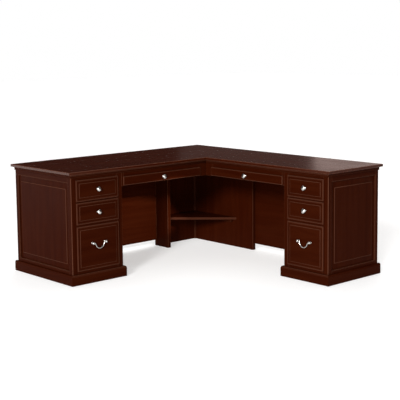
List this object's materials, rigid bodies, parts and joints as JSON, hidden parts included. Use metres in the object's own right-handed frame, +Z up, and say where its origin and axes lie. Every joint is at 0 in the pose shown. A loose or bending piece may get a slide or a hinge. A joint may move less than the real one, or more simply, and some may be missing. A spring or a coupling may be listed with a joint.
{
  "type": "corner desk",
  "caption": "L-shaped wooden desk: a deep desk and a shallower return with drawer pedestals at both free ends, kneehole drawers and an open corner shelf.",
  "frame": {"origin": "centre of the overall box on the floor", "axes": "+Z up; the desk lies along Y on the -X side with its drawers facing +X, the return lies along X on the +Y side with its drawers facing -Y"},
  "size_m": [1.88, 1.76, 0.762],
  "materials": {
    "cherry_finish": "dark stained, satin lacquer",
    "drawer_maple": "clear lacquer",
    "brushed_nickel": "brushed nickel",
    "slide_steel": "zinc plated",
    "glide_plastic": "matte"
  },
  "bodies": {
    "cabinet": {"desk_top": "cherry_finish", "desk_top_moulding": "cherry_finish", "return_top": "cherry_finish", "return_top_moulding": "cherry_finish", "desk_end_frame": "cherry_finish", "desk_end_panel": "cherry_finish", "desk_carcase": "cherry_finish", "desk_face_frame": "cherry_finish", "desk_plinth": "cherry_finish", "return_end_frame": "cherry_finish", "return_end_panel": "cherry_finish", "return_carcase": "cherry_finish", "return_face_frame": "cherry_finish", "return_plinth": "cherry_finish", "desk_modesty_panel": "cherry_finish", "return_modesty_panel": "cherry_finish", "back_gable": "cherry_finish", "corner_gable": "cherry_finish", "corner_back_panel": "cherry_finish", "corner_shelf": "cherry_finish", "shelf_cleats": "cherry_finish", "corner_bead": "cherry_finish", "apron_frame": "cherry_finish", "glides": "glide_plastic", "cabinet_runners": "slide_steel", "joining_plates": "slide_steel"},
    "desk_upper_drawer": {"desk_upper_drawer_front": "cherry_finish", "desk_upper_drawer_box": "drawer_maple", "desk_upper_drawer_runners": "slide_steel", "desk_upper_drawer_knob": "brushed_nickel"},
    "desk_middle_drawer": {"desk_middle_drawer_front": "cherry_finish", "desk_middle_drawer_box": "drawer_maple", "desk_middle_drawer_runners": "slide_steel", "desk_middle_drawer_knob": "brushed_nickel"},
    "desk_file_drawer": {"desk_file_drawer_front": "cherry_finish", "desk_file_drawer_box": "drawer_maple", "desk_file_drawer_runners": "slide_steel", "desk_file_drawer_bail_posts": "brushed_nickel"},
    "desk_bail": {"desk_file_drawer_bail": "brushed_nickel"},
    "desk_kneehole_drawer": {"desk_kneehole_drawer_front": "cherry_finish", "desk_kneehole_drawer_box": "drawer_maple", "desk_kneehole_drawer_runners": "slide_steel", "desk_kneehole_drawer_knob": "brushed_nickel"},
    "return_upper_drawer": {"return_upper_drawer_front": "cherry_finish", "return_upper_drawer_box": "drawer_maple", "return_upper_drawer_runners": "slide_steel", "return_upper_drawer_knob": "brushed_nickel"},
    "return_middle_drawer": {"return_middle_drawer_front": "cherry_finish", "return_middle_drawer_box": "drawer_maple", "return_middle_drawer_runners": "slide_steel", "return_middle_drawer_knob": "brushed_nickel"},
    "return_file_drawer": {"return_file_drawer_front": "cherry_finish", "return_file_drawer_box": "drawer_maple", "return_file_drawer_runners": "slide_steel", "return_file_drawer_bail_posts": "brushed_nickel"},
    "return_bail": {"return_file_drawer_bail": "brushed_nickel"},
    "return_kneehole_drawer": {"return_kneehole_drawer_front": "cherry_finish", "return_kneehole_drawer_box": "drawer_maple", "return_kneehole_drawer_runners": "slide_steel", "return_kneehole_drawer_knob": "brushed_nickel"}
  },
  "joints": [
    {"name": "desk_upper_drawer_slide", "type": "slide", "parent": "cabinet", "child": "desk_upper_drawer", "axis": [1, 0, 0], "range_m": [0, 0.42]},
    {"name": "desk_middle_drawer_slide", "type": "slide", "parent": "cabinet", "child": "desk_middle_drawer", "axis": [1, 0, 0], "range_m": [0, 0.42]},
    {"name": "desk_file_drawer_slide", "type": "slide", "parent": "cabinet", "child": "desk_file_drawer", "axis": [1, 0, 0], "range_m": [0, 0.42]},
    {"name": "desk_bail_swing", "type": "hinge", "parent": "desk_file_drawer", "child": "desk_bail", "pos_m": [-0.237, -0.64, 0.271], "axis": [0, -1, 0], "range_deg": [-12, 90]},
    {"name": "desk_kneehole_drawer_slide", "type": "slide", "parent": "cabinet", "child": "desk_kneehole_drawer", "axis": [1, 0, 0], "range_m": [0, 0.28]},
    {"name": "return_upper_drawer_slide", "type": "slide", "parent": "cabinet", "child": "return_upper_drawer", "axis": [0, -1, 0], "range_m": [0, 0.33]},
    {"name": "return_middle_drawer_slide", "type": "slide", "parent": "cabinet", "child": "return_middle_drawer", "axis": [0, -1, 0], "range_m": [0, 0.33]},
    {"name": "return_file_drawer_slide", "type": "slide", "parent": "cabinet", "child": "return_file_drawer", "axis": [0, -1, 0], "range_m": [0, 0.33]},
    {"name": "return_bail_swing", "type": "hinge", "parent": "return_file_drawer", "child": "return_bail", "pos_m": [0.715, 0.327, 0.271], "axis": [-1, 0, 0], "range_deg": [-12, 90]},
    {"name": "return_kneehole_drawer_slide", "type": "slide", "parent": "cabinet", "child": "return_kneehole_drawer", "axis": [0, 1, 0], "range_m": [-0.28, 0]}
  ]
}
